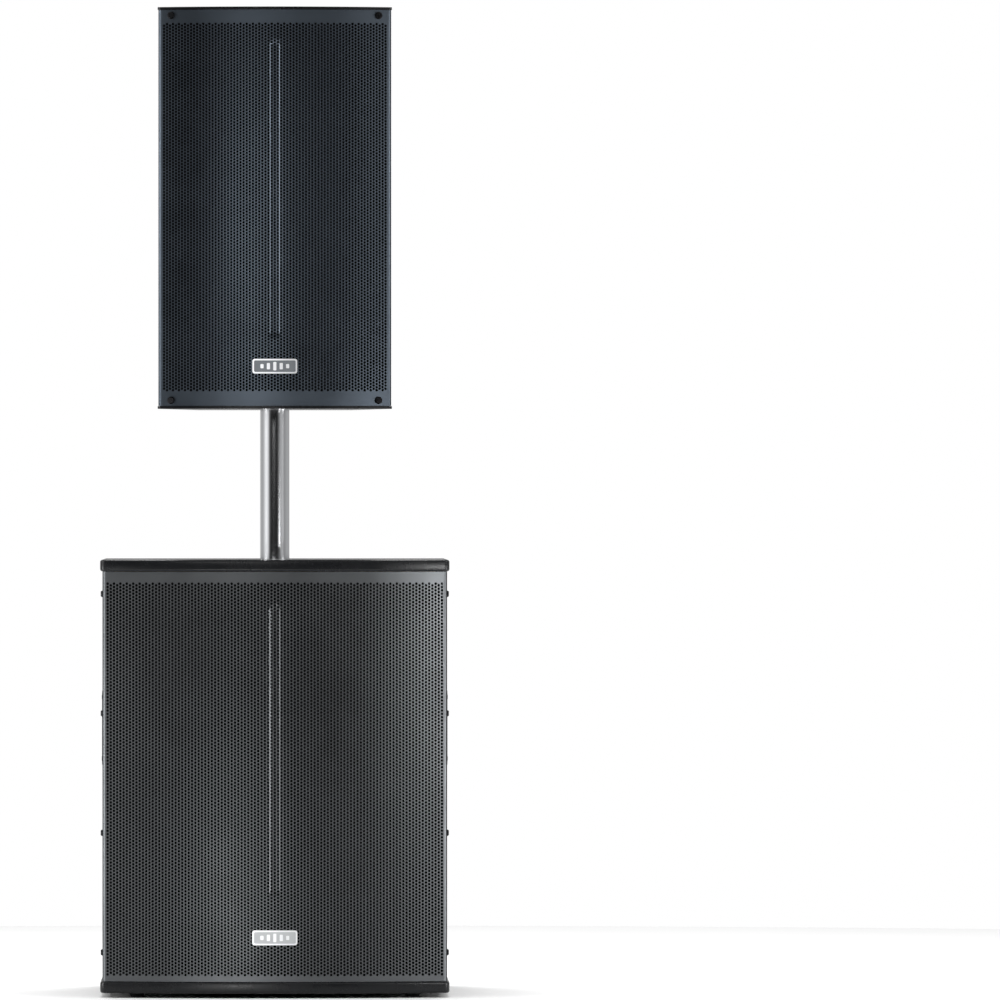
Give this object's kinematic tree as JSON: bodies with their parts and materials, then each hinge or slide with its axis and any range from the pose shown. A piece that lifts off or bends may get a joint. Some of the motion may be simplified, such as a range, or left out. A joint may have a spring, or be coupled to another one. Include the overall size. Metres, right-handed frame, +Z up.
{
  "type": "pa speaker",
  "caption": "Active PA stack: a narrow two-way top cabinet on a chrome pole that stands in the socket of a powered subwoofer, both behind curved perforated grilles.",
  "frame": {"origin": "on the floor, under the pole's axis and the middle of the feet's square", "axes": "+Z up along the pole, -Y out of the curved front grilles, +X to the right of someone looking at the front"},
  "size_m": [0.45, 0.52, 1.279],
  "materials": {
    "sub_paint": "black textured coating on plywood",
    "top_paint": "black textured coating on plywood",
    "bare_ply": "bare birch plywood, sprayed black on its front",
    "sub_grille_steel": "satin graphite powder coat",
    "top_grille_steel": "satin blue-grey powder coat",
    "foam": "open-cell acoustic foam",
    "badge_metal": "bright brushed",
    "rubber_foot": "matte",
    "handle_plastic": "fine textured",
    "basket_metal": "black cast",
    "motor_steel": "black oxide and ferrite",
    "cone_paper": "pressed pulp, black",
    "surround_cloth": "matte roll",
    "spider_cloth": "varnished woven cloth",
    "coil_wire": "wound copper on a former",
    "panel_steel": "fine black powder coat",
    "sink_aluminium": "black anodised",
    "circuit": "solder-masked board",
    "connector_plastic": "moulded",
    "rocker_plastic": "moulded",
    "knob_plastic": "soft-touch",
    "button_plastic": "moulded grey",
    "cup_metal": "black powder coat",
    "pole_chrome": "polished plating",
    "plug_nylon": "turned nylon",
    "horn_plastic": "fine textured",
    "screw_black": "black oxide",
    "screw_bright": "zinc plated"
  },
  "bodies": {
    "sub": {"sub_top_board": "sub_paint", "sub_bottom_board": "sub_paint", "sub_side_boards": "sub_paint", "sub_back_board": "sub_paint", "sub_baffle": "bare_ply", "sub_port_ducts": "bare_ply", "sub_handles": "handle_plastic", "sub_feet": "rubber_foot", "sub_grille": "sub_grille_steel", "sub_grille_foam": "foam", "sub_badge": "badge_metal", "sub_woofer_basket": "basket_metal", "sub_woofer_motor": "motor_steel", "sub_woofer_surround": "surround_cloth", "sub_woofer_spider": "spider_cloth", "sub_amp_panel": "panel_steel", "sub_heatsink": "sink_aluminium", "sub_amp_circuit": "circuit", "sub_connectors": "connector_plastic", "sub_pole_cup": "cup_metal", "sub_grille_screws": "screw_bright", "sub_panel_screws": "screw_black", "sub_woofer_bolts": "screw_black"},
    "sub_cone": {"sub_woofer_cone": "cone_paper", "sub_voice_coil": "coil_wire"},
    "sub_level_knob": {"sub_level_knob": "knob_plastic"},
    "sub_phase_button": {"sub_phase_button": "button_plastic"},
    "sub_power_rocker": {"sub_power_rocker": "rocker_plastic"},
    "pole": {"pole_tube": "pole_chrome", "pole_foot_plug": "plug_nylon"},
    "pole_cap": {"pole_top_plug": "plug_nylon"},
    "top_cone": {"top_woofer_cone": "cone_paper", "top_voice_coil": "coil_wire"},
    "top_level_knob_a": {"top_level_knob_a": "knob_plastic"},
    "top_level_knob_b": {"top_level_knob_b": "knob_plastic"},
    "top_mode_button": {"top_mode_button": "button_plastic"},
    "top_power_rocker": {"top_power_rocker": "rocker_plastic"},
    "top": {"top_lid_board": "top_paint", "top_bottom_board": "top_paint", "top_side_boards": "top_paint", "top_back_board": "top_paint", "top_baffle": "bare_ply", "top_handles": "handle_plastic", "top_grille": "top_grille_steel", "top_grille_foam": "foam", "top_badge": "badge_metal", "top_woofer_basket": "basket_metal", "top_woofer_motor": "motor_steel", "top_woofer_surround": "surround_cloth", "top_woofer_spider": "spider_cloth", "top_horn": "horn_plastic", "top_hf_driver": "motor_steel", "top_amp_panel": "panel_steel", "top_heatsink": "sink_aluminium", "top_amp_circuit": "circuit", "top_connectors": "connector_plastic", "top_pole_socket": "cup_metal", "top_grille_screws": "screw_black", "top_panel_screws": "screw_black", "top_driver_bolts": "screw_black"}
  },
  "joints": [
    {"name": "sub_cone_travel", "type": "slide", "parent": "sub", "child": "sub_cone", "axis": [0, -1, 0], "range_m": [-0.01, 0.01], "stiffness_N_per_m": 5000, "deforming": ["sub_woofer_surround", "sub_woofer_spider"]},
    {"name": "sub_level_turn", "type": "hinge", "parent": "sub", "child": "sub_level_knob", "pos_m": [0.069, 0.24, 0.257], "axis": [0, 1, 0], "range_deg": [-150, 150]},
    {"name": "sub_phase_press", "type": "slide", "parent": "sub", "child": "sub_phase_button", "axis": [0, -1, 0], "range_m": [0, 0.002], "stiffness_N_per_m": 300, "springref_m": -0.001},
    {"name": "sub_power_rock", "type": "hinge", "parent": "sub", "child": "sub_power_rocker", "pos_m": [-0.046, 0.2325, 0.151], "axis": [1, 0, 0], "range_deg": [0, 16]},
    {"name": "pole_lift", "type": "slide", "parent": "sub", "child": "pole", "axis": [0, 0, 1], "range_m": [0, 0.09]},
    {"name": "top_swivel", "type": "hinge", "parent": "pole", "child": "pole_cap", "pos_m": [0, 0, 0.83], "axis": [0, 0, 1], "continuous": true},
    {"name": "top_lift", "type": "slide", "parent": "pole_cap", "child": "top", "axis": [0, 0, 1], "range_m": [0, 0.07]},
    {"name": "top_cone_travel", "type": "slide", "parent": "top", "child": "top_cone", "axis": [0, -1, 0], "range_m": [-0.006, 0.006], "stiffness_N_per_m": 4000, "deforming": ["top_woofer_surround", "top_woofer_spider"]},
    {"name": "top_level_turn_a", "type": "hinge", "parent": "top", "child": "top_level_knob_a", "pos_m": [0.044, 0.139, 0.997], "axis": [0, 1, 0], "range_deg": [-150, 150]},
    {"name": "top_level_turn_b", "type": "hinge", "parent": "top", "child": "top_level_knob_b", "pos_m": [0, 0.139, 0.997], "axis": [0, 1, 0], "range_deg": [-150, 150]},
    {"name": "top_mode_press", "type": "slide", "parent": "top", "child": "top_mode_button", "axis": [0, -1, 0], "range_m": [0, 0.002], "stiffness_N_per_m": 300, "springref_m": -0.001},
    {"name": "top_power_rock", "type": "hinge", "parent": "top", "child": "top_power_rocker", "pos_m": [-0.044, 0.1315, 0.895], "axis": [1, 0, 0], "range_deg": [0, 16]}
  ]
}
